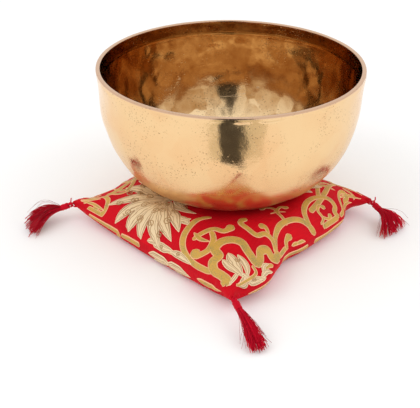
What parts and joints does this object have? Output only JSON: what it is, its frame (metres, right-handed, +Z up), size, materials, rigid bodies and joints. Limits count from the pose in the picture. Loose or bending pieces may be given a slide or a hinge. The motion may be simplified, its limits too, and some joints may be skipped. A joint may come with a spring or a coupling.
{
  "type": "singing bowl",
  "caption": "Hammered bronze singing bowl with a thick rim, resting in a square brocade cushion with a thread tassel looped to each corner.",
  "frame": {"origin": "point of the table under the bowl's axis", "axes": "+Z up along the bowl's axis; -Y towards the cushion's front corner, +X towards its right-hand corner"},
  "size_m": [0.3762, 0.3869, 0.148],
  "materials": {
    "bronze": "hammered, satin to bright",
    "brocade": "red satin brocade with woven gold and cream ornament",
    "stuffing": "loose fibre",
    "tassel_thread": "glossy twisted thread"
  },
  "bodies": {
    "cushion": {"cushion_bottom_cover": "brocade", "cushion_top_cover": "brocade", "cushion_stuffing": "stuffing"},
    "bowl": {"bowl": "bronze"},
    "left_knot": {"tassel_left_loop": "tassel_thread", "tassel_left_knot": "tassel_thread"},
    "left_tassel": {"tassel_left_binding": "tassel_thread", "tassel_left_skirt": "tassel_thread"},
    "front_knot": {"tassel_front_loop": "tassel_thread", "tassel_front_knot": "tassel_thread"},
    "front_tassel": {"tassel_front_binding": "tassel_thread", "tassel_front_skirt": "tassel_thread"},
    "right_knot": {"tassel_right_loop": "tassel_thread", "tassel_right_knot": "tassel_thread"},
    "right_tassel": {"tassel_right_binding": "tassel_thread", "tassel_right_skirt": "tassel_thread"},
    "back_knot": {"tassel_back_loop": "tassel_thread", "tassel_back_knot": "tassel_thread"},
    "back_tassel": {"tassel_back_binding": "tassel_thread", "tassel_back_skirt": "tassel_thread"}
  },
  "joints": [
    {"name": "bowl_lift", "type": "slide", "parent": "cushion", "child": "bowl", "axis": [0, 0, 1], "range_m": [0, 0.15]},
    {"name": "left_tassel_swing", "type": "hinge", "parent": "cushion", "child": "left_knot", "pos_m": [-0.14753, -0.04397, 0.016], "axis": [0, 0, 1], "range_deg": [-85, 65]},
    {"name": "left_tassel_lift", "type": "hinge", "parent": "left_knot", "child": "left_tassel", "pos_m": [-0.15513, -0.04572, 0.016], "axis": [-0.225, 0.9744, 0], "range_deg": [0, 70]},
    {"name": "front_tassel_swing", "type": "hinge", "parent": "cushion", "child": "front_knot", "pos_m": [0.00247, -0.17903, 0.016], "axis": [0, 0, 1], "range_deg": [-96, 54]},
    {"name": "front_tassel_lift", "type": "hinge", "parent": "front_knot", "child": "front_tassel", "pos_m": [0.00564, -0.18615, 0.016], "axis": [-0.9135, -0.4067, 0], "range_deg": [0, 70]},
    {"name": "right_tassel_swing", "type": "hinge", "parent": "cushion", "child": "right_knot", "pos_m": [0.13753, -0.02903, 0.016], "axis": [0, 0, 1], "range_deg": [-22, 128]},
    {"name": "right_tassel_lift", "type": "hinge", "parent": "right_knot", "child": "right_tassel", "pos_m": [0.14254, -0.03501, 0.016], "axis": [-0.766, -0.6428, 0], "range_deg": [0, 70]},
    {"name": "back_tassel_swing", "type": "hinge", "parent": "cushion", "child": "back_knot", "pos_m": [-0.01247, 0.10603, 0.016], "axis": [0, 0, 1], "range_deg": [-66, 84]},
    {"name": "back_tassel_lift", "type": "hinge", "parent": "back_knot", "child": "back_tassel", "pos_m": [-0.01165, 0.11378, 0.016], "axis": [0.9945, -0.1045, 0], "range_deg": [0, 70]}
  ]
}
